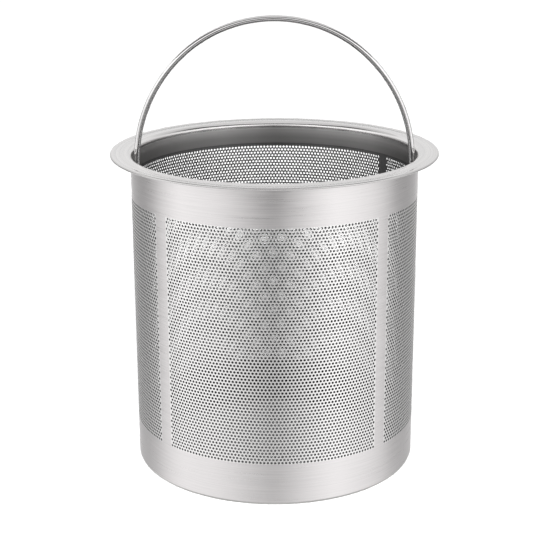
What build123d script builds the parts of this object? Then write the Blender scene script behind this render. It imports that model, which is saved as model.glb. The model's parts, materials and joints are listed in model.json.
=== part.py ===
"""Perforated stainless steel grain basket with a swinging bail, for an all in one brewer.

Units are millimetres. +Z is up and the origin is the centre of the underside. The bail
stands in the XZ plane and swings about an axis along X.
"""

from build123d import *
import math
import os

os.makedirs("parts", exist_ok=True)

# Driving dimensions
sheet_t = 0.8             # gauge of every sheet piece
wall_r = 145.0            # outside radius of the perforated wall
wall_foot_z = 3.0         # lower edge of the wall, where the bottom plate's corner starts to turn
rim_z = 324.0             # top of the flange
rim_bend_r = 5.0          # radius of the rounded mouth, on its polished side
flange_r = 165.3          # outside radius of the flange
hem_t = 2.2               # thickness of the folded outer edge
hem_w = 6.0               # width of the folded outer edge
collar_foot_z = 300.5     # lower edge of the collar inside the wall
pan_corner_r = 3.0        # outside corner radius of the bottom plate
pan_skirt_h = 12.0        # height of its upturned skirt
seam_w = 2.4              # width of the wall's lengthwise weld
seam_proud = 0.3          # how far that weld stands out on each side
seam_angle = 176.5        # place of the seam, counted from +X towards +Y
bead_arc_deg = 112.0      # how far up the rounded mouth the rim weld reaches
bead_drop = 1.1           # how far that weld runs down the wall
foot_low_deg = -60.0      # how far round the bottom plate's corner the foot weld reaches
foot_bead = 0.6           # how far that weld stands out from the corner
rod_r = 3.0               # radius of the bail's round rod
leg_x = 139.2             # half the width between the leg centres
bail_spring_z = 309.6     # height where the legs start to curve inwards
arc_shift = 10.6          # shift of the three arc centres that make the tall arch
foot_bend_r = 3.6         # centreline radius of the outward turn at each foot
pivot_play = 0.05         # radial play of a foot in its hole
cap_r = 4.0               # radius of the disc that keeps a foot in its hole
cap_t = 1.2               # thickness of that disc
cap_gap = 0.5             # side play between disc and wall
cap_edge_r = 0.4          # rounding of the disc's outer edge

# Derived dimensions
wall_in_r = wall_r - sheet_t
collar_in_r = wall_in_r - sheet_t
bend_axis_r = collar_in_r + rim_bend_r
bend_axis_z = rim_z - rim_bend_r
bend_hidden_r = rim_bend_r - sheet_t
hem_edge_r = hem_t / 2
hem_axis_r = flange_r - hem_edge_r
pan_flat_r = wall_in_r - pan_corner_r
pivot_z = bail_spring_z - foot_bend_r
pivot_r = rod_r + pivot_play
foot_x = leg_x + foot_bend_r
foot_tip_x = wall_r + cap_gap
side_arc_r = leg_x + arc_shift
crown_arc_r = side_arc_r - math.sqrt(2) * arc_shift

bead_root = (wall_in_r, bend_axis_z)
bead_top = (
    bend_axis_r + bend_hidden_r * math.cos(math.radians(bead_arc_deg)),
    bend_axis_z + bend_hidden_r * math.sin(math.radians(bead_arc_deg)),
)
foot_points = [
    (
        pan_flat_r + radius * math.cos(math.radians(angle)),
        pan_corner_r + radius * math.sin(math.radians(angle)),
    )
    for radius, angle in (
        (pan_corner_r + foot_bead, foot_low_deg / 3),
        (pan_corner_r + foot_bead, 2 * foot_low_deg / 3),
        (pan_corner_r, foot_low_deg),
    )
]

# Lengths that only have to reach right through the sheet or the basket
seam_cut_l = 10 * sheet_t
pivot_cut_l = 2 * wall_r

# Perforated wall: one sheet rolled into a cylinder, open along its lengthwise weld
with BuildPart() as wall_sheet:
    with BuildSketch(Plane.XY.offset(wall_foot_z)):
        Circle(wall_r)
        Circle(wall_in_r, mode=Mode.SUBTRACT)
        with PolarLocations(wall_in_r, 1, start_angle=seam_angle):
            Rectangle(seam_cut_l, seam_w, mode=Mode.SUBTRACT)
    extrude(amount=bend_axis_z - wall_foot_z)
    with BuildSketch(Plane.YZ):
        with Locations((0, pivot_z)):
            Circle(pivot_r)
    extrude(amount=pivot_cut_l, both=True, mode=Mode.SUBTRACT)

# Lengthwise butt weld that closes the wall, slightly proud inside and outside
seam_rings = (
    (wall_in_r, wall_r, wall_foot_z, bend_axis_z),
    (wall_r, wall_r + seam_proud, wall_foot_z, bend_axis_z - bead_drop),
    (wall_in_r - seam_proud, wall_in_r, pan_skirt_h, collar_foot_z),
)
with BuildPart() as wall_seam_weld:
    for ring_in_r, ring_out_r, low_z, high_z in seam_rings:
        with BuildSketch(Plane.XY.offset(low_z)):
            Circle(ring_out_r)
            Circle(ring_in_r, mode=Mode.SUBTRACT)
            with PolarLocations(wall_in_r, 1, start_angle=seam_angle):
                Rectangle(seam_cut_l, seam_w, mode=Mode.INTERSECT)
        extrude(amount=high_z - low_z)

# Rim: collar inside the wall, rounded mouth, flat flange and folded outer edge
with BuildPart() as rim_flange:
    with BuildSketch(Plane.XZ):
        with BuildLine():
            Line((collar_in_r, collar_foot_z), (collar_in_r, bend_axis_z))
            CenterArc((bend_axis_r, bend_axis_z), rim_bend_r, 180, -90)
            Line((bend_axis_r, rim_z), (hem_axis_r, rim_z))
            CenterArc((hem_axis_r, rim_z - hem_edge_r), hem_edge_r, 90, -180)
            Line((hem_axis_r, rim_z - hem_t), (flange_r - hem_w, rim_z - hem_t))
            Line((flange_r - hem_w, rim_z - hem_t), (flange_r - hem_w, rim_z - sheet_t))
            Line((flange_r - hem_w, rim_z - sheet_t), (bend_axis_r, rim_z - sheet_t))
            CenterArc((bend_axis_r, bend_axis_z), bend_hidden_r, 90, 90)
            Line((wall_in_r, bend_axis_z), (wall_in_r, collar_foot_z))
            Line((wall_in_r, collar_foot_z), (collar_in_r, collar_foot_z))
        make_face()
    revolve(axis=Axis.Z)
    with BuildSketch(Plane.YZ):
        with Locations((0, pivot_z)):
            Circle(pivot_r)
    extrude(amount=pivot_cut_l, both=True, mode=Mode.SUBTRACT)

# Weld bead under the flange, where the wall's upper edge meets the rounded mouth
with BuildPart() as rim_weld:
    with BuildSketch(Plane.XZ):
        with BuildLine():
            Line(bead_root, (wall_r, bend_axis_z))
            Line((wall_r, bend_axis_z), (wall_r, bend_axis_z - bead_drop))
            Line((wall_r, bend_axis_z - bead_drop), bead_top)
            CenterArc((bend_axis_r, bend_axis_z), bend_hidden_r, bead_arc_deg, 180 - bead_arc_deg)
        make_face()
    revolve(axis=Axis.Z)

# Bottom plate: a shallow pan whose skirt stands inside the wall
with BuildPart() as bottom_plate:
    with BuildSketch(Plane.XZ):
        with BuildLine():
            Line((0, 0), (pan_flat_r, 0))
            CenterArc((pan_flat_r, pan_corner_r), pan_corner_r, -90, 90)
            Line((wall_in_r, pan_corner_r), (wall_in_r, pan_skirt_h))
            Line((wall_in_r, pan_skirt_h), (collar_in_r, pan_skirt_h))
            Line((collar_in_r, pan_skirt_h), (collar_in_r, pan_corner_r))
            CenterArc((pan_flat_r, pan_corner_r), pan_corner_r - sheet_t, 0, -90)
            Line((pan_flat_r, sheet_t), (0, sheet_t))
            Line((0, sheet_t), (0, 0))
        make_face()
    revolve(axis=Axis.Z)

# Weld bead round the foot, between the wall's lower edge and the pan's rounded corner
with BuildPart() as bottom_weld:
    with BuildSketch(Plane.XZ):
        with BuildLine():
            Polyline((wall_in_r, wall_foot_z), (wall_r, wall_foot_z), *foot_points)
            CenterArc((pan_flat_r, pan_corner_r), pan_corner_r, foot_low_deg, -foot_low_deg)
        make_face()
    revolve(axis=Axis.Z)

# Bail: one round rod bent to a tall arch, its two feet turned outwards through the rim
with BuildPart() as bail_rod:
    with BuildLine(Plane.XZ):
        Line((-foot_tip_x, pivot_z), (-foot_x, pivot_z))
        CenterArc((-foot_x, bail_spring_z), foot_bend_r, -90, 90)
        CenterArc((arc_shift, bail_spring_z), side_arc_r, 180, -45)
        CenterArc((0, bail_spring_z + arc_shift), crown_arc_r, 135, -90)
        CenterArc((-arc_shift, bail_spring_z), side_arc_r, 45, -45)
        CenterArc((foot_x, bail_spring_z), foot_bend_r, 180, 90)
        Line((foot_x, pivot_z), (foot_tip_x, pivot_z))
    with BuildSketch(Plane.YZ.offset(-foot_tip_x)):
        with Locations((0, pivot_z)):
            Circle(rod_r)
    sweep()

# Two small discs welded on the tips of the feet, which keep them in their holes
with BuildPart() as left_end_cap:
    with BuildSketch(Plane.YZ.offset(-foot_tip_x)):
        with Locations((0, pivot_z)):
            Circle(cap_r)
    extrude(amount=-cap_t)
    fillet(left_end_cap.faces().sort_by(Axis.X)[0].edges(), cap_edge_r)

with BuildPart() as right_end_cap:
    with BuildSketch(Plane.YZ.offset(foot_tip_x)):
        with Locations((0, pivot_z)):
            Circle(cap_r)
    extrude(amount=cap_t)
    fillet(right_end_cap.faces().sort_by(Axis.X)[-1].edges(), cap_edge_r)

wall_sheet.part.label = "wall_sheet"
wall_seam_weld.part.label = "wall_seam_weld"
rim_flange.part.label = "rim_flange"
rim_weld.part.label = "rim_weld"
bottom_plate.part.label = "bottom_plate"
bottom_weld.part.label = "bottom_weld"
bail_rod.part.label = "bail_rod"
left_end_cap.part.label = "left_end_cap"
right_end_cap.part.label = "right_end_cap"

export_step(wall_sheet.part, "parts/wall_sheet.step")
export_step(wall_seam_weld.part, "parts/wall_seam_weld.step")
export_step(rim_flange.part, "parts/rim_flange.step")
export_step(rim_weld.part, "parts/rim_weld.step")
export_step(bottom_plate.part, "parts/bottom_plate.step")
export_step(bottom_weld.part, "parts/bottom_weld.step")
export_step(bail_rod.part, "parts/bail_rod.step")
export_step(left_end_cap.part, "parts/left_end_cap.step")
export_step(right_end_cap.part, "parts/right_end_cap.step")
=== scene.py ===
import json
import math

import bpy
import bmesh
import numpy as np
from mathutils import Matrix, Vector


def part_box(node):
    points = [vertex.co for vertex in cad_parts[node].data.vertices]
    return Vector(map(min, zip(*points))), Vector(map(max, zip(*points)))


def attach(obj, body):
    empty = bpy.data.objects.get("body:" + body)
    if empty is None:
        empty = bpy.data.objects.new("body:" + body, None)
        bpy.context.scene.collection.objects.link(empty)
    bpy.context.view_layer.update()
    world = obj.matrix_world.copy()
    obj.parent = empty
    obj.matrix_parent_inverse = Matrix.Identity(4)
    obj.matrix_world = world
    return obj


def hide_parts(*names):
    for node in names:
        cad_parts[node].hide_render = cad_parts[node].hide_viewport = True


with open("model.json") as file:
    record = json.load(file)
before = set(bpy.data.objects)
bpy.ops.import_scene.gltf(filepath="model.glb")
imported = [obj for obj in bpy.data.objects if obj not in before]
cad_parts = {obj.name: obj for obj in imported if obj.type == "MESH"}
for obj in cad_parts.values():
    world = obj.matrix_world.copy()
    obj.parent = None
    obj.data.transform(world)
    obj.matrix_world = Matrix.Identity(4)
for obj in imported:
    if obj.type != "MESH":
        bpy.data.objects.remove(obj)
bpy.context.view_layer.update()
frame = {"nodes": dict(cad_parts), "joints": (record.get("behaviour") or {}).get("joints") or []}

# ---------------------------------------------------------------- sizes, in metres
MM = 0.001
nodes = frame["nodes"]

wall_low, wall_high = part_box("wall_sheet")
rim_low, rim_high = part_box("rim_flange")
hinge = frame["joints"][0]["pos_m"]

WALL_R = wall_high.x                # outside of the perforated wall
SHEET = 0.8 * MM                    # gauge of every sheet piece
WALL_IN_R = WALL_R - SHEET
COLLAR_IN_R = WALL_IN_R - SHEET
FLANGE_R = rim_high.x
RIM_Z = rim_high.z                  # top of the flange
PAN_CORNER_R = 3.0 * MM
PIVOT_HOLE_R = 3.05 * MM

HOLE_R = 1.3 * MM
HOLE_PITCH = 3.58 * MM              # between neighbouring holes of one row
ROW_PITCH = 3.296 * MM              # between rows
FIRST_ROW_Z = 45.2 * MM             # centre of the lowest row
FRONT_ROWS = 72
REAR_ROWS = 77
HOLE_SIDES = 8
PIVOT_SIDES = 32
RING_TURN = 0.02                    # part of a step that a hole's corners are turned by, so
                                    # that none is in line with a corner of its rectangle
BAND_LINES = (14 * MM, 28 * MM)     # grid lines on the plain band under the holes
SHARP_EDGE = math.radians(50)       # edges over this angle stay sharp

# Azimuths run from the front (-Y) towards +X. Each field: start, end, rows, pieces
FIELDS = (
    (-45.7, 42.8, FRONT_ROWS, 2),
    (48.2, 86.6, FRONT_ROWS, 1),
    (94.2, 124.1, REAR_ROWS, 1),
    (128.3, 264.7, REAR_ROWS, 3),
    (273.4, 308.4, FRONT_ROWS, 1),
)
PIVOTS = (90.0, 270.0)
SEAM = 266.5                        # azimuth of the wall's lengthwise weld
SEAM_W = 2.4 * MM
BLOCK = 5.0 * MM                    # half the square left round each pivot hole


def add_object(name, data):
    """A new object in the scene."""
    made = bpy.data.objects.new(name, data)
    bpy.context.scene.collection.objects.link(made)
    return made


# ---------------------------------------------------------------- node materials
def node_tools(tree):
    """Two helpers for a node tree: add makes a node with the settings given, link joins sockets."""

    def add(kind, **values):
        node = tree.nodes.new(kind)
        for key, value in values.items():
            setattr(node, key, value)
        return node

    return add, tree.links.new


def material(name):
    """A new node material with its Principled shader, and the helpers for its nodes."""
    made = bpy.data.materials.new(name)
    made.use_nodes = True
    return made, made.node_tree.nodes["Principled BSDF"], *node_tools(made.node_tree)


def steel(name, colour, roughness, brushed):
    """Bare stainless steel with its brushing round the axis; brushed is how directional it is.
    Gives the material, its shader and the helpers."""
    made, shader, add, link = material(name)
    shader.inputs["Base Color"].default_value = (*colour, 1)
    shader.inputs["Metallic"].default_value = 1.0
    shader.inputs["Roughness"].default_value = roughness
    shader.inputs["Anisotropic"].default_value = brushed
    shader.inputs["Anisotropic Rotation"].default_value = 0.25
    tangent = add("ShaderNodeTangent", direction_type="RADIAL", axis="Z")
    link(tangent.outputs["Tangent"], shader.inputs["Tangent"])
    return made, shader, add, link


def ranged(add, link, source, span, levels, **options):
    """A value carried from span to levels and held at both ends, as a node's output."""
    node = add("ShaderNodeMapRange", **options)
    link(source, node.inputs["Value"])
    node.inputs["From Min"].default_value, node.inputs["From Max"].default_value = span
    node.inputs["To Min"].default_value, node.inputs["To Max"].default_value = levels
    return node.outputs[0]


def fill_in(link, socket, value):
    """Joins a socket to a node's output, or sets it to a constant."""
    if isinstance(value, bpy.types.NodeSocket):
        link(value, socket)
    else:
        socket.default_value = value


def maths(add, link, operation, *values):
    """The output of a maths node."""
    node = add("ShaderNodeMath", operation=operation)
    for socket, value in zip(node.inputs, values):
        fill_in(link, socket, value)
    return node.outputs[0]


def scaled(add, link, colour, factor):
    """A colour times a number, as a node's output."""
    node = add("ShaderNodeVectorMath", operation="SCALE")
    fill_in(link, node.inputs[0], colour)
    link(factor, node.inputs["Scale"])
    return node.outputs[0]


NOISE_MIDDLE = (0.3, 0.7)           # where most of a noise texture's values lie
STREAK_TINT = (0.94, 1.06)          # how much the fine lines change the colour
STREAK_GLOSS = (0.8, 1.2)           # and the roughness
RELIEF = 0.02 * MM

COLLAR_PAINTED_SHADE = (0.40, 1.0)          # painted shade: tone at the foot of the collar and at the flange
COLLAR_HEIGHTS = (RIM_Z - 20 * MM, RIM_Z)
SATIN = (2.4, 1.0)                  # the collar is this many times rougher than the mouth
SATIN_HEIGHTS = (RIM_Z - 8 * MM, RIM_Z - 4 * MM)
LIP_PAINTED_SHADE = (0.0, -0.2)           # painted shade: change of tone on the upper half of the folded edge
LIP_RADII = (FLANGE_R - 1.7 * MM, FLANGE_R - 0.9 * MM)
LIP_HEIGHTS = (RIM_Z - 2.1 * MM, RIM_Z - 1.5 * MM)


def brushed_steel(name, colour, roughness, brushed, along, across, bump, is_rim=False):
    """Steel with fine lines round the axis. along and across scale the noise on the way round
    and over the lines; across is over (distance from the axis, height). The rim's roughness also
    changes from its collar to its mouth, and its colour has painted shade: darker down the collar
    and on the upper half of its folded edge."""
    made, shader, add, link = steel(name, colour, roughness, brushed)
    split = add("ShaderNodeSeparateXYZ")
    link(add("ShaderNodeTexCoord").outputs["Object"], split.inputs[0])
    x, y, height = split.outputs
    squares = [maths(add, link, "MULTIPLY", v, v) for v in (x, y)]
    radius = maths(add, link, "SQRT", maths(add, link, "ADD", *squares))
    outwards = maths(add, link, "MULTIPLY", radius, across[0])
    over = maths(add, link, "MULTIPLY_ADD", height, across[1], outwards)
    rounds = [maths(add, link, "MULTIPLY", v, along) for v in (x, y)]
    lines_at = add("ShaderNodeCombineXYZ")
    for socket, value in zip(lines_at.inputs, (*rounds, over)):
        link(value, socket)
    lines = add("ShaderNodeTexNoise")
    lines.inputs["Scale"].default_value = 1.0
    lines.inputs["Detail"].default_value = 3.0
    lines.inputs["Roughness"].default_value = 0.6
    link(lines_at.outputs[0], lines.inputs["Vector"])
    streak = lines.outputs["Fac"]
    gloss = ranged(add, link, streak, NOISE_MIDDLE, [roughness * k for k in STREAK_GLOSS])
    shade = scaled(add, link, colour, ranged(add, link, streak, NOISE_MIDDLE, STREAK_TINT))
    if is_rim:
        satin = ranged(add, link, height, SATIN_HEIGHTS, SATIN)
        gloss = maths(add, link, "MULTIPLY", gloss, satin)
        # painted shade: the rim's colour darkens down the collar, from the flange to its foot
        painted_collar_shade = ranged(
            add, link, height, COLLAR_HEIGHTS, COLLAR_PAINTED_SHADE, interpolation_type="SMOOTHSTEP"
        )
        # painted shade: the outer part of the folded edge's upper half is darkened
        lip_painted_shade = ranged(add, link, radius, LIP_RADII, LIP_PAINTED_SHADE)
        face = ranged(add, link, height, LIP_HEIGHTS, (0.0, 1.0))
        edge = maths(add, link, "MULTIPLY_ADD", lip_painted_shade, face, 1.0)
        shade = scaled(add, link, scaled(add, link, shade, painted_collar_shade), edge)
    link(gloss, shader.inputs["Roughness"])
    link(shade, shader.inputs["Base Color"])
    relief = add("ShaderNodeBump")
    relief.inputs["Strength"].default_value = bump
    relief.inputs["Distance"].default_value = RELIEF
    link(streak, relief.inputs["Height"])
    link(relief.outputs[0], shader.inputs["Normal"])
    return made


STEEL = (0.82, 0.797, 0.797)
wall_steel = brushed_steel("wall_steel", STEEL, 0.33, 0.8, 16.0, (0.0, 900.0), 0.15)
# painted light: the punched fields get a lighter copy of the wall's steel, so their webs look
# brighter
field_steel = steel("field_steel", (0.98, 0.97, 0.965), 0.33, 0.8)[0]
# painted shade: the wall's inner faces get a dark copy of the steel, for the shade inside the
# basket
inside_steel = steel("inside_steel", (0.18, 0.18, 0.18), 0.40, 0.8)[0]
# rough cut edges of the sheet; their dark colour is painted shade inside the holes
cut_steel = steel("cut_steel", (0.28, 0.28, 0.28), 0.50, 0.0)[0]
rim_steel = brushed_steel(
    "rim_steel", (0.88, 0.865, 0.86), 0.15, 0.5, 3.0, (380.0, 380.0), 0.01, is_rim=True
)
# painted shade: the bottom pan gets a dark copy of the steel, for the shade at the basket's bottom
pan_steel = steel("pan_steel", (0.25, 0.25, 0.25), 0.38, 0.3)[0]
rod_steel = brushed_steel("rod_steel", (0.84, 0.83, 0.83), 0.08, 0.0, 60.0, (0.0, 500.0), 0.02)
weld_steel = brushed_steel("weld_steel", (0.62, 0.61, 0.60), 0.42, 0.0, 300.0, (900.0, 900.0), 0.6)


def dress(piece, *surfaces):
    """Gives a piece its materials."""
    piece.data.materials.clear()
    for surface in surfaces:
        piece.data.materials.append(surface)


# ---------------------------------------------------------------- mesh helpers
def sheet_object(name, points, faces, *surfaces):
    """An object from shared points, of which unused ones are dropped.
    Three surfaces are for the faces turned outwards, inwards and neither way."""
    used = np.unique(np.concatenate([f.reshape(-1) for f in faces]))
    place = np.full(len(points), -1)
    place[used] = np.arange(len(used))
    polygons = [row for f in faces for row in place[f].tolist()]
    mesh = bpy.data.meshes.new(name)
    mesh.from_pydata(points[used].tolist(), [], polygons)
    mesh.polygons.foreach_set("use_smooth", np.ones(len(polygons), bool))
    mesh.set_sharp_from_angle(angle=SHARP_EDGE)
    mesh.update()
    made = add_object(name, mesh)
    dress(made, *surfaces)
    if len(surfaces) > 1:
        facing = np.array([p.center.xy.normalized().dot(p.normal.xy) for p in mesh.polygons])
        surface_of = np.where(facing > 0.5, 0, np.where(facing < -0.5, 1, 2))
        mesh.polygons.foreach_set("material_index", surface_of)
    return made


def zip_rings(outer, inner):
    """Triangles between two closed rings of angles, as (ring, index) corners, anticlockwise."""
    corners = [(a, 0, i) for i, a in enumerate(outer)] + [(a, 1, i) for i, a in enumerate(inner)]
    corners.sort()
    now = [len(outer) - 1, len(inner) - 1]
    triangles = []
    for _, ring, index in corners:
        if ring == 0:
            triangles.append(((0, now[0]), (0, index), (1, now[1])))
        else:
            triangles.append(((0, now[0]), (1, index), (1, now[1])))
        now[ring] = index
    return triangles


def ring_template(half_w, half_h, sides, middles):
    """The rim of a rectangle, the ring of a hole in it and the triangles between them.
    middles adds the midpoints of the two upright edges to those of the level ones."""
    rim = [(1, -1), (1, 1), (0, 1), (-1, 1), (-1, -1), (0, -1)]
    if middles:
        rim = [(1, -1), (1, 0), (1, 1), (0, 1), (-1, 1), (-1, 0), (-1, -1), (0, -1)]
    rim_angles = [math.atan2(y * half_h, x * half_w) % math.tau for x, y in rim]
    order = np.argsort(rim_angles)
    rim = [rim[k] for k in order]
    rim_angles = [rim_angles[k] for k in order]
    hole_angles = [math.tau * (k + RING_TURN) / sides for k in range(sides)]
    return rim, hole_angles, zip_rings(rim_angles, hole_angles)


# ---------------------------------------------------------------- perforated wall
def wall_columns():
    """Azimuths of the wall's grid lines in degrees, and for each column what it belongs to:
    (field index, half-column number), or None on a plain strip, or "seam"."""
    lines, owners = [], []

    def plain(start, end):
        count = max(1, round(math.radians(end - start) * WALL_R / (HOLE_PITCH / 2)))
        lines.extend(start + (end - start) * k / count for k in range(count))
        owners.extend([None] * count)

    block = math.degrees(BLOCK / WALL_R)
    seam_half = math.degrees(SEAM_W / 2 / WALL_R)
    for index, (start, end, _, _) in enumerate(FIELDS):
        holes = round(math.radians(end - start) * WALL_R / HOLE_PITCH)
        step = (end - start) / holes / 2
        lines.extend(start + step * k for k in range(2 * holes))
        owners.extend((index, k) for k in range(2 * holes))
        after = FIELDS[(index + 1) % len(FIELDS)][0]
        if after < end:
            after += 360
        marks = [end]
        for pivot in PIVOTS:
            if end < pivot < after:
                if end < SEAM < pivot:
                    marks += [SEAM - seam_half, SEAM + seam_half]
                marks += [pivot - block, pivot, pivot + block]
        marks.append(after)
        for low, high in zip(marks, marks[1:]):
            middle = (low + high) / 2
            if abs(middle - SEAM) < seam_half:
                lines.append(low)
                owners.append("seam")
            elif any(abs(middle - pivot) < block for pivot in PIVOTS):
                lines.append(low)
                owners.append(None)
            else:
                plain(low, high)
    return np.array(lines), owners


def wall_rows():
    """Heights of the wall's grid lines, and the line where the first row of holes starts."""
    low = [wall_low.z, *BAND_LINES]
    first = FIRST_ROW_Z - ROW_PITCH / 2
    rows = [first + ROW_PITCH * k for k in range(REAR_ROWS + 1)]
    pivot_z = hinge[2]
    high = [pivot_z - BLOCK, pivot_z, pivot_z + BLOCK, wall_high.z]
    return np.array(low + rows + high), len(low)


def on_wall(azimuth, height, radius):
    """Points on a cylinder, from azimuths in degrees and heights."""
    turn = np.radians(azimuth)
    return np.stack([radius * np.sin(turn), -radius * np.cos(turn), height], axis=-1)


def build_wall():
    lines, owners = wall_columns()
    levels, first_row = wall_rows()
    n_cols, n_levels = len(lines), len(levels)
    n_grid = n_cols * n_levels

    def grid(column, level):
        return (column % n_cols) * n_levels + level

    columns, heights = np.meshgrid(lines, levels, indexing="ij")
    outer = on_wall(columns.ravel(), heights.ravel(), WALL_R)
    inner = on_wall(columns.ravel(), heights.ravel(), WALL_IN_R)
    points = [outer, inner]
    n_points = 2 * n_grid

    # Who owns each cell of the grid: 0 is plain sheet, -1 is open, 1 and up are punched pieces
    owner = np.zeros((n_cols, n_levels - 1), int)
    bricks = {}
    piece_number = 0
    for index, (_, _, n_rows, n_pieces) in enumerate(FIELDS):
        mine = [c for c, o in enumerate(owners) if o is not None and o != "seam" and o[0] == index]
        holes = len(mine) // 2
        for row in range(n_rows):
            level = first_row + row
            odd = row % 2
            for k in range(holes - odd):
                part = piece_number + 1 + k * n_pieces // holes
                column = mine[0] + 2 * k + odd
                owner[column, level] = part
                owner[column + 1, level] = part
                bricks.setdefault(part, []).append((column, level))
            if odd:
                owner[mine[0], level] = piece_number + 1
                owner[mine[-1], level] = piece_number + n_pieces
        piece_number += n_pieces
    for column, o in enumerate(owners):
        if o == "seam":
            owner[column, :] = -1

    # Square blocks of four cells round the two pivot holes
    pivot_level = int(np.argmin(abs(levels - hinge[2])))
    blocks = [(int(np.argmin(abs(lines - pivot))), pivot_level) for pivot in PIVOTS]

    faces = {part: [] for part in range(piece_number + 1)}
    covered = np.zeros_like(owner, bool)

    def add_holes(part, centres, below, radius, template):
        """Rings of sheet round holes and the holes' walls. centres are grid corners. A rectangle
        reaches one cell to both sides, one up and below cells down."""
        nonlocal n_points
        rim, hole_angles, triangles = template
        n, count = len(centres), len(hole_angles)
        column, level = np.array(centres).T
        middle_z = (levels[level - below] + levels[level + 1]) / 2
        middle_a = lines[column]
        turn = np.degrees(radius * np.cos(hole_angles) / WALL_R)
        rise = radius * np.sin(hole_angles)
        rings = []
        for shell_r in (WALL_R, WALL_IN_R):
            ring = on_wall(middle_a[:, None] + turn, middle_z[:, None] + rise, shell_r)
            points.append(ring.reshape(-1, 3))
            rings.append(n_points + np.arange(n * count).reshape(n, -1))
            n_points += n * count
        reach = {-1: -below, 0: 0, 1: 1}
        corner = [grid(column + x, level + reach[y]) for x, y in rim]
        for shell, ring in enumerate(rings):
            for triangle in triangles:
                ends = [corner[i] + shell * n_grid if r == 0 else ring[:, i] for r, i in triangle]
                ends = ends[::-1] if shell else ends
                faces[part].append(np.stack(ends, axis=1))
        for k in range(count):
            after = (k + 1) % count
            ends = [rings[0][:, k], rings[0][:, after], rings[1][:, after], rings[1][:, k]]
            faces[part].append(np.stack(ends, axis=1))

    brick = ring_template(HOLE_PITCH / 2, ROW_PITCH / 2, HOLE_SIDES, False)
    for part, cells in bricks.items():
        for column, level in cells:
            covered[column, level] = covered[column + 1, level] = True
        add_holes(part, [(column + 1, level) for column, level in cells], 0, HOLE_R, brick)
    pivot_block = ring_template(BLOCK, BLOCK, PIVOT_SIDES, True)
    for column, level in blocks:
        covered[column - 1 : column + 1, level - 1 : level + 1] = True
    add_holes(0, blocks, 1, PIVOT_HOLE_R, pivot_block)

    # Plain cells, on both faces of the sheet
    for part in faces:
        column, level = np.nonzero((owner == part) & ~covered)
        if len(column):
            corners = [
                grid(column, level),
                grid(column + 1, level),
                grid(column + 1, level + 1),
                grid(column, level + 1),
            ]
            faces[part].append(np.stack(corners, axis=1))
            faces[part].append(np.stack([c + n_grid for c in corners[::-1]], axis=1))

    # Sheet edges, wherever the cell next door is another piece's or none
    beside = np.roll(owner, -1, axis=0)
    above = np.full_like(owner, -1)
    above[:, :-1] = owner[:, 1:]
    for part in faces:
        for mine, other, turned in ((owner, beside, False), (beside, owner, True)):
            column, level = np.nonzero((mine == part) & (other != part))
            a, b = grid(column + 1, level), grid(column + 1, level + 1)
            ends = [a, a + n_grid, b + n_grid, b]
            faces[part].append(np.stack(ends[::-1] if turned else ends, axis=1))
        for mine, other, turned in ((owner, above, False), (above, owner, True)):
            column, level = np.nonzero((mine == part) & (other != part))
            a, b = grid(column, level + 1), grid(column + 1, level + 1)
            ends = [a, b, b + n_grid, a + n_grid]
            faces[part].append(np.stack(ends[::-1] if turned else ends, axis=1))
        column, level = np.nonzero(owner[:, :1] == part)
        a, b = grid(column, level), grid(column + 1, level)
        faces[part].append(np.stack([b, a, a + n_grid, b + n_grid], axis=1))

    points = np.concatenate(points)
    for part, part_faces in faces.items():
        part_faces = [f for f in part_faces if len(f)]
        name = "wall_plain" if part == 0 else f"wall_field_{part}"
        surface = wall_steel if part == 0 else field_steel
        piece = sheet_object(name, points, part_faces, surface, inside_steel, cut_steel)
        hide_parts("wall_sheet")
        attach(piece, "basket")


build_wall()


# ---------------------------------------------------------------- rim
BEND_R = 5.0 * MM
HEM_T = 2.2 * MM
HEM_W = 6.0 * MM
FOLD_LINE = 0.06 * MM               # depth of the fine line over the fold's inner end
LATHE_STEPS = 180


def arc(centre, radius, start, end, steps):
    """Points (distance from the axis, height) on an arc, from start to end in degrees."""
    turns = np.radians(np.linspace(start, end, steps + 1))
    return [(centre[0] + radius * math.cos(t), centre[1] + radius * math.sin(t)) for t in turns]


def lathe_faces(n_profile, first, closed):
    """Quads of a turned shape whose points are numbered by azimuth and then along its profile."""
    column = np.arange(LATHE_STEPS)[:, None]
    after = (column + 1) % LATHE_STEPS
    row = np.arange(n_profile if closed else n_profile - 1)[None]
    following = (row + 1) % n_profile
    corners = (column, row), (column, following), (after, following), (after, row)
    return np.stack([first + c * n_profile + r for c, r in corners], axis=-1)


def turned(profile):
    """The points of a turned shape."""
    azimuths = np.arange(LATHE_STEPS) * 360 / LATHE_STEPS
    radii, heights = np.array(profile).T
    heights = np.broadcast_to(heights, (LATHE_STEPS, len(profile)))
    return on_wall(azimuths[:, None], heights, radii).reshape(-1, 3)


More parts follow.
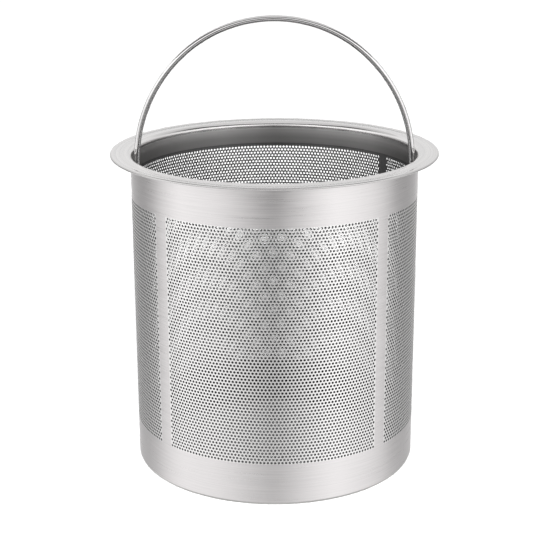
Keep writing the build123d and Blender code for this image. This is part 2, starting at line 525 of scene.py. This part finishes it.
def build_rim():
    pivot_z = hinge[2]
    bend_r, bend_z = COLLAR_IN_R + BEND_R, RIM_Z - BEND_R
    hem_r, hem_z = FLANGE_R - HEM_T / 2, RIM_Z - HEM_T / 2
    fold_r = FLANGE_R - HEM_W
    near = 0.15 * MM
    grips = [rim_low.z, pivot_z - BLOCK, pivot_z, pivot_z + BLOCK, bend_z - near]
    profile = [(COLLAR_IN_R, z) for z in grips]
    profile += arc((bend_r, bend_z), BEND_R, 180, 90, 14)
    profile += [(bend_r + near, RIM_Z), (fold_r - near, RIM_Z)]
    profile += [(fold_r, RIM_Z - FOLD_LINE), (fold_r + near, RIM_Z)]
    profile += [(hem_r - near, RIM_Z)] + arc((hem_r, hem_z), HEM_T / 2, 90, -90, 12)
    profile += [(hem_r - near, RIM_Z - HEM_T), (fold_r, RIM_Z - HEM_T), (fold_r, RIM_Z - SHEET)]
    profile += [(bend_r + near, RIM_Z - SHEET)]
    profile += arc((bend_r, bend_z), BEND_R - SHEET, 90, 180, 10)
    profile += [(WALL_IN_R, z) for z in grips[::-1]]
    points = [turned(profile)]
    quads = lathe_faces(len(profile), 0, True)
    inner_row, outer_row = 2, len(profile) - 3
    keep = np.ones(quads.shape[:2], bool)
    faces = []
    rim, hole_angles, triangles = ring_template(BLOCK, BLOCK, PIVOT_SIDES, True)
    total = LATHE_STEPS * len(profile)
    step = math.radians(360 / LATHE_STEPS)
    for pivot in PIVOTS:
        centre = round(pivot * LATHE_STEPS / 360)
        rings = []
        for radius in (WALL_IN_R, COLLAR_IN_R):
            turn = pivot + np.degrees(PIVOT_HOLE_R * np.cos(hole_angles) / WALL_R)
            points.append(on_wall(turn, pivot_z + PIVOT_HOLE_R * np.sin(hole_angles), radius))
            rings.append(total)
            total += len(hole_angles)
        for ring, row, upwards in ((rings[0], outer_row, -1), (rings[1], inner_row, 1)):
            keep[centre - 1 : centre + 1, row - 1 : row + 1] = False
            corner = [
                ((centre + x) % LATHE_STEPS) * len(profile) + row + upwards * y for x, y in rim
            ]
            for triangle in triangles:
                ends = [corner[i] if r == 0 else ring + i for r, i in triangle]
                faces.append(ends if upwards < 0 else ends[::-1])
        count = len(hole_angles)
        for k in range(count):
            after = (k + 1) % count
            faces.append([rings[0] + k, rings[0] + after, rings[1] + after])
            faces.append([rings[0] + k, rings[1] + after, rings[1] + k])
    piece = sheet_object("rim", np.concatenate(points), [quads[keep], np.array(faces)], rim_steel)
    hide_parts("rim_flange")
    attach(piece, "basket")


build_rim()

# ---------------------------------------------------------------- bottom pan
PAN_FIELD_R = 123.0 * MM            # the bottom is punched inside this radius
PAN_SKIRT_H = 12.0 * MM


def build_pan():
    """A punched disc in the brick pattern of the wall, with a rounded corner and a short skirt."""
    flat_r = WALL_IN_R - PAN_CORNER_R
    rim, hole_angles, triangles = ring_template(HOLE_PITCH / 2, ROW_PITCH / 2, HOLE_SIDES, False)
    half = HOLE_PITCH / 2
    n_rows = int(PAN_FIELD_R / ROW_PITCH)
    bm = bmesh.new()
    corners = {}

    def corner(i, j):
        if (i, j) not in corners:
            corners[i, j] = bm.verts.new((i * half, (j - 0.5) * ROW_PITCH, SHEET))
        return corners[i, j]

    flat = []
    holes = []
    for j in range(-n_rows, n_rows + 1):
        reach = PAN_FIELD_R**2 - ((abs(j) + 0.5) * ROW_PITCH) ** 2
        if reach <= 0:
            continue
        across = int(math.sqrt(reach) / half) - 1
        for i in range(-across, across + 1):
            if (i + j) % 2:
                continue
            edge = [corner(i + x, j + (y + 1) // 2) for x, y in rim]
            ring = []
            for t in hole_angles:
                x, y = i * half + HOLE_R * math.cos(t), j * ROW_PITCH + HOLE_R * math.sin(t)
                ring.append(bm.verts.new((x, y, SHEET)))
            holes.append(ring)
            for triangle in triangles:
                flat.append(bm.faces.new([edge[k] if r == 0 else ring[k] for r, k in triangle]))
    ring_verts = {v for ring in holes for v in ring}
    border = [e for e in bm.edges if len(e.link_faces) == 1 and not (set(e.verts) & ring_verts)]
    azimuths = np.arange(LATHE_STEPS) * 360 / LATHE_STEPS
    outer = [bm.verts.new((*on_wall(a, 0.0, flat_r)[:2], SHEET)) for a in azimuths]
    border += [bm.edges.new((outer[k - 1], outer[k])) for k in range(LATHE_STEPS)]
    filled = bmesh.ops.triangle_fill(bm, use_beauty=True, use_dissolve=False, edges=border)
    flat += [g for g in filled["geom"] if isinstance(g, bmesh.types.BMFace)]
    for face in flat:
        face.normal_update()
        if face.normal.z < 0:
            face.normal_flip()
    under = {v: bm.verts.new((v.co.x, v.co.y, 0.0)) for v in list(bm.verts)}
    for face in flat:
        bm.faces.new([under[v] for v in reversed(face.verts)])
    for ring in holes:
        for k in range(HOLE_SIDES):
            a, b = ring[k - 1], ring[k]
            bm.faces.new((a, b, under[b], under[a]))
    turn_at = (flat_r, PAN_CORNER_R)
    skirt_foot_z = PAN_CORNER_R + 0.1 * MM
    profile = arc(turn_at, PAN_CORNER_R, -90, 0, 8)
    profile += [(WALL_IN_R, skirt_foot_z), (WALL_IN_R, PAN_SKIRT_H)]
    profile += [(COLLAR_IN_R, PAN_SKIRT_H), (COLLAR_IN_R, skirt_foot_z)]
    profile += arc(turn_at, PAN_CORNER_R - SHEET, 0, -90, 8)
    lathe = [bm.verts.new(p) for p in turned(profile)]
    for quad in lathe_faces(len(profile), 0, False).reshape(-1, 4):
        bm.faces.new([lathe[k] for k in reversed(quad)])
    bmesh.ops.remove_doubles(bm, verts=list(bm.verts), dist=1e-6)
    mesh = bpy.data.meshes.new("pan")
    bm.to_mesh(mesh)
    bm.free()
    mesh.polygons.foreach_set("use_smooth", np.ones(len(mesh.polygons), bool))
    mesh.set_sharp_from_angle(angle=SHARP_EDGE)
    piece = add_object("pan", mesh)
    dress(piece, pan_steel)
    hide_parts("bottom_plate")
    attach(piece, "basket")


build_pan()

for name, surface in (
    ("wall_seam_weld", weld_steel),
    ("rim_weld", weld_steel),
    ("bottom_weld", weld_steel),
    ("bail_rod", rod_steel),
    ("left_end_cap", rod_steel),
    ("right_end_cap", rod_steel),
):
    dress(nodes[name], surface)
for name in ("wall_sheet", "rim_flange", "bottom_plate"):
    dress(nodes[name], wall_steel)

# ---------------------------------------------------------------- studio
FLOOR_R = 9.0
FLOOR_Z = -0.2 * MM                 # a little under the basket
ROOM_H = 12.0
HUB_R = 1 * MM                      # of the hole in the middle of floor and ceiling
SUN_ELEVATION = 24                  # in degrees


def round_stage(name, rings):
    """A round part of the studio from (distance from the axis, height) rings, which steel
    doesn't show."""
    steps = 96
    azimuths = np.arange(steps) * 360 / steps
    points = np.concatenate([on_wall(azimuths, np.full(steps, z), r) for r, z in rings])
    faces = []
    for k in range(len(rings) - 1):
        this, following = k * steps, (k + 1) * steps
        for i in range(steps):
            after = (i + 1) % steps
            faces.append((this + i, this + after, following + after, following + i))
    mesh = bpy.data.meshes.new(name)
    mesh.from_pydata(points.tolist(), [], faces)
    made = add_object(name, mesh)
    made.visible_glossy = False
    return made


floor = round_stage("floor", [(HUB_R, FLOOR_Z), (FLOOR_R, FLOOR_Z)])
floor_paint, floor_shader, _, _ = material("floor_paint")
floor_shader.inputs["Base Color"].default_value = (0.92, 0.92, 0.92, 1)
floor_shader.inputs["Roughness"].default_value = 0.9
floor_shader.inputs["Specular IOR Level"].default_value = 0.0
dress(floor, floor_paint)

backdrop = round_stage("backdrop", [(FLOOR_R, FLOOR_Z), (FLOOR_R, ROOM_H), (HUB_R, ROOM_H)])
backdrop_paint, backdrop_shader, _, _ = material("backdrop_paint")
backdrop_shader.inputs["Base Color"].default_value = (0, 0, 0, 1)
backdrop_shader.inputs["Specular IOR Level"].default_value = 0.0
backdrop_shader.inputs["Emission Color"].default_value = (1, 1, 1, 1)
backdrop_shader.inputs["Emission Strength"].default_value = 1.0
dress(backdrop, backdrop_paint)
backdrop.visible_diffuse = False
backdrop.visible_shadow = False


def studio_surround():
    """A soft surround for the steel to show: its brightness changes with the direction round
    the axis, in its own way at each of six heights."""
    world = bpy.data.worlds.new("studio")
    bpy.context.scene.world = world
    world.use_nodes = True
    world.cycles_visibility.diffuse = False
    add, link = node_tools(world.node_tree)
    split = add("ShaderNodeSeparateXYZ")
    link(add("ShaderNodeTexCoord").outputs["Generated"], split.inputs[0])
    x, y, height = split.outputs
    turn = maths(add, link, "ARCTAN2", x, maths(add, link, "MULTIPLY", y, -1.0))
    share = ranged(add, link, turn, (-math.pi, math.pi), (0.0, 1.0))

    def round_about(stops):
        """Brightness by azimuth, from a list of (degrees, level)."""
        ramp = add("ShaderNodeValToRGB")
        elements = ramp.color_ramp.elements
        while len(elements) > 1:
            elements.remove(elements[-1])
        for k, (azimuth, level) in enumerate(stops):
            spot = (azimuth + 180) / 360
            element = elements[0] if k == 0 else elements.new(spot)
            element.position = spot
            element.color = (level, level, level, 1)
        link(share, ramp.inputs[0])
        return ramp.outputs[0]

    def blend(under, over, start, end):
        """One brightness up to the height start on the unit sphere, another from end on."""
        mix = add("ShaderNodeMix", data_type="RGBA")
        factor = ranged(
            add, link, height, (start, end), (0.0, 1.0), interpolation_type="SMOOTHSTEP"
        )
        link(factor, mix.inputs["Factor"])
        link(under, mix.inputs["A"])
        link(over, mix.inputs["B"])
        return mix.outputs["Result"]

    floor_near = round_about(((-180, 0.4), (-60, 0.5), (0, 0.9), (60, 0.5), (180, 0.4)))
    floor_far = round_about((
        (-180, 0.7), (-150, 0.9), (-110, 0.9), (-85, 0.85), (-60, 1.0), (0, 1.15),
        (60, 1.0), (85, 0.8), (110, 0.8), (150, 0.85), (180, 0.7),
    ))
    eye_level = round_about((
        (-180, 0.75), (-163, 0.8), (-150, 0.48), (-128, 0.34), (-114, 0.42), (-96, 0.85),
        (-80, 1.15), (-64, 1.05), (-48, 0.95), (-32, 0.7), (-16, 0.36), (0, 0.08),
        (16, 0.49), (32, 0.93), (48, 1.2), (64, 1.12), (80, 1.0), (96, 0.75),
        (112, 0.38), (128, 0.36), (150, 0.5), (163, 0.8), (180, 0.75),
    ))
    boxes = round_about((
        (-180, 0.75), (-160, 0.9), (-118, 0.85), (-80, 1.2), (-32, 1.4), (0, 0.9),
        (16, 1.2), (48, 1.4), (80, 1.0), (118, 0.8), (160, 0.8), (180, 0.75),
    ))
    ceiling = round_about(((-180, 0.72), (180, 0.72)))
    gap = round_about((
        (-180, 0.72), (-125, 0.6), (-95, 0.1), (95, 0.1), (125, 0.6), (180, 0.72),
    ))
    light = blend(floor_near, floor_far, -0.88, -0.70)
    light = blend(light, eye_level, -0.60, -0.32)
    light = blend(light, boxes, 0.10, 0.27)
    light = blend(light, gap, 0.52, 0.60)
    light = blend(light, ceiling, 0.80, 0.90)
    link(light, world.node_tree.nodes["Background"].inputs["Color"])


studio_surround()


def overhead_fill():
    """A large faint light that keeps the shadow from being black. Steel doesn't show it."""
    lamp = bpy.data.lights.new("fill", "AREA")
    lamp.shape = "RECTANGLE"
    lamp.size, lamp.size_y = 3.0, 3.0
    lamp.energy = 22.0
    made = add_object("fill", lamp)
    made.location = (0.0, 0.0, 3.0)
    made.visible_glossy = False


def front_key():
    """A soft sun from behind the camera, so that the basket's shadow falls behind it. Steel
    doesn't show it."""
    lamp = bpy.data.lights.new("front_key", "SUN")
    lamp.energy = 8.8
    lamp.angle = math.radians(20)
    made = add_object("front_key", lamp)
    made.rotation_euler = (math.radians(90 - SUN_ELEVATION), 0, 0)
    made.visible_glossy = False


front_key()
overhead_fill()

# ---------------------------------------------------------------- camera
SENSOR_W = 36.0                     # in millimetres, as is the lens
LENS = 93.2
CAMERA_AT = (0.0, -1.3668, 0.6202)
CAMERA_DOWN = math.radians(17.087)  # how far it looks down
CAMERA_ASIDE = 0.0062               # how far it is turned about the upright, in radians
CAMERA_ROLL = -0.0051               # and about its own line of sight

camera_data = bpy.data.cameras.new("camera")
camera_data.sensor_width = SENSOR_W
camera_data.lens = LENS
camera = add_object("camera", camera_data)
camera.matrix_world = (
    Matrix.Translation(CAMERA_AT)
    @ Matrix.Rotation(CAMERA_ASIDE, 4, "Z")
    @ Matrix.Rotation(math.radians(90) - CAMERA_DOWN, 4, "X")
    @ Matrix.Rotation(CAMERA_ROLL, 4, "Z")
)
bpy.context.scene.camera = camera

view = bpy.context.scene.view_settings
view.view_transform = "Standard"
view.look = "None"
